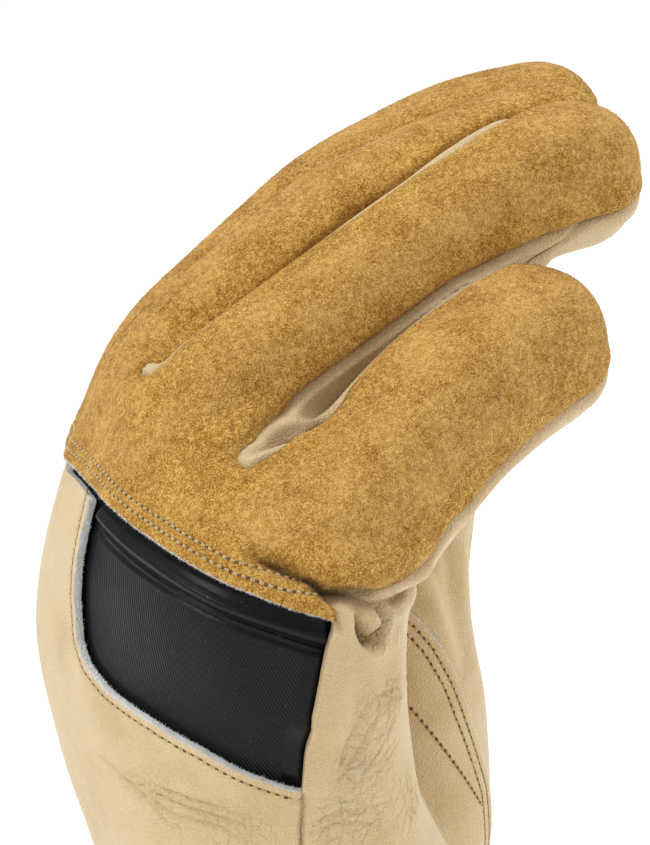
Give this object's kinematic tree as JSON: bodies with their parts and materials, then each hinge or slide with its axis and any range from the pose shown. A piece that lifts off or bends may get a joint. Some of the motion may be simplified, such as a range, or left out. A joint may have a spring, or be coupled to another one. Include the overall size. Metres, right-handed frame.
{
  "type": "leather driver glove",
  "caption": "Right-hand leather work glove in its worn, curled shape, with suede finger backs, a ribbed rubber knuckle strap and a smooth leather palm.",
  "frame": {"origin": "centre of the cuff opening", "axes": "+Z from the cuff up the hand, +X out of the palm, +Y from the little finger to the index finger"},
  "size_m": [0.1254, 0.0964, 0.2074],
  "materials": {
    "suede": "suede nap",
    "grain_leather": "satin grain",
    "rubber": "satin, ribbed"
  },
  "bodies": {
    "root": {"back_suede": "suede", "fourchette_little_ring": "grain_leather", "fourchette_ring_middle": "grain_leather", "fourchette_middle_index": "grain_leather", "palm": "grain_leather", "hand_back": "grain_leather", "knuckle_strap": "rubber", "thumb": "grain_leather", "palm_patch": "grain_leather"}
  },
  "joints": []
}
